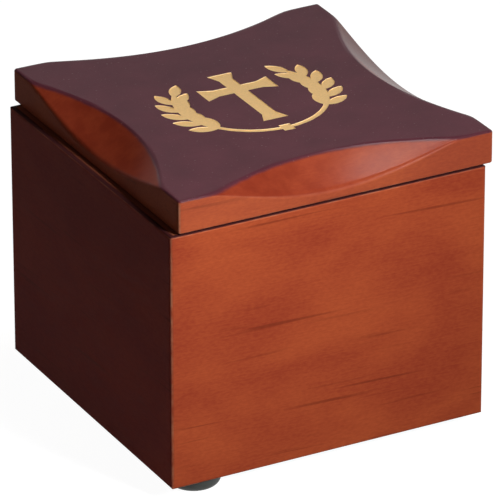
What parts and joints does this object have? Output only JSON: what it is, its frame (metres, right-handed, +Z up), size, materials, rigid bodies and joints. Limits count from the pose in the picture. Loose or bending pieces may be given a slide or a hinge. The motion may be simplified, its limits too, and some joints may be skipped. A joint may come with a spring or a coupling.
{
  "type": "rosary box",
  "caption": "Small square wooden keepsake box on rubber feet, with a thick hinged lid whose edges are scooped out; opens to a velvet-lined cavity.",
  "frame": {"origin": "middle of the overall outline in plan, on the plane under the feet", "axes": "+X to the right seen from the front, +Y from the front to the hinged back, +Z up"},
  "size_m": [0.0776, 0.0778, 0.0705],
  "materials": {
    "cherry_boards": "satin lacquer over cherry stain",
    "panel_wood": "thin lacquer over stain",
    "lid_wood": "satin lacquer, dark stain on the top and cherry in the scoops and sides",
    "gold_filling": "dried gold paint",
    "velvet": "short pile",
    "hinge_brass": "polished, plated",
    "foot_rubber": "matt"
  },
  "bodies": {
    "box": {"front_board": "cherry_boards", "back_board": "cherry_boards", "left_board": "cherry_boards", "right_board": "cherry_boards", "bottom_panel": "panel_wood", "floor_lining": "velvet", "foot_front_left": "foot_rubber", "foot_front_right": "foot_rubber", "foot_back_left": "foot_rubber", "foot_back_right": "foot_rubber", "left_hinge_body_leaf": "hinge_brass", "left_hinge_pin": "hinge_brass", "right_hinge_body_leaf": "hinge_brass", "right_hinge_pin": "hinge_brass", "hinge_body_screws": "hinge_brass"},
    "lid": {"lid": "lid_wood", "lid_emblem": "gold_filling", "left_hinge_lid_leaf": "hinge_brass", "right_hinge_lid_leaf": "hinge_brass", "hinge_lid_screws": "hinge_brass"}
  },
  "joints": [
    {"name": "lid_hinge", "type": "hinge", "parent": "box", "child": "lid", "pos_m": [-0.0008, 0.0374, 0.06275], "axis": [-1, 0, 0], "range_deg": [0, 100]}
  ]
}
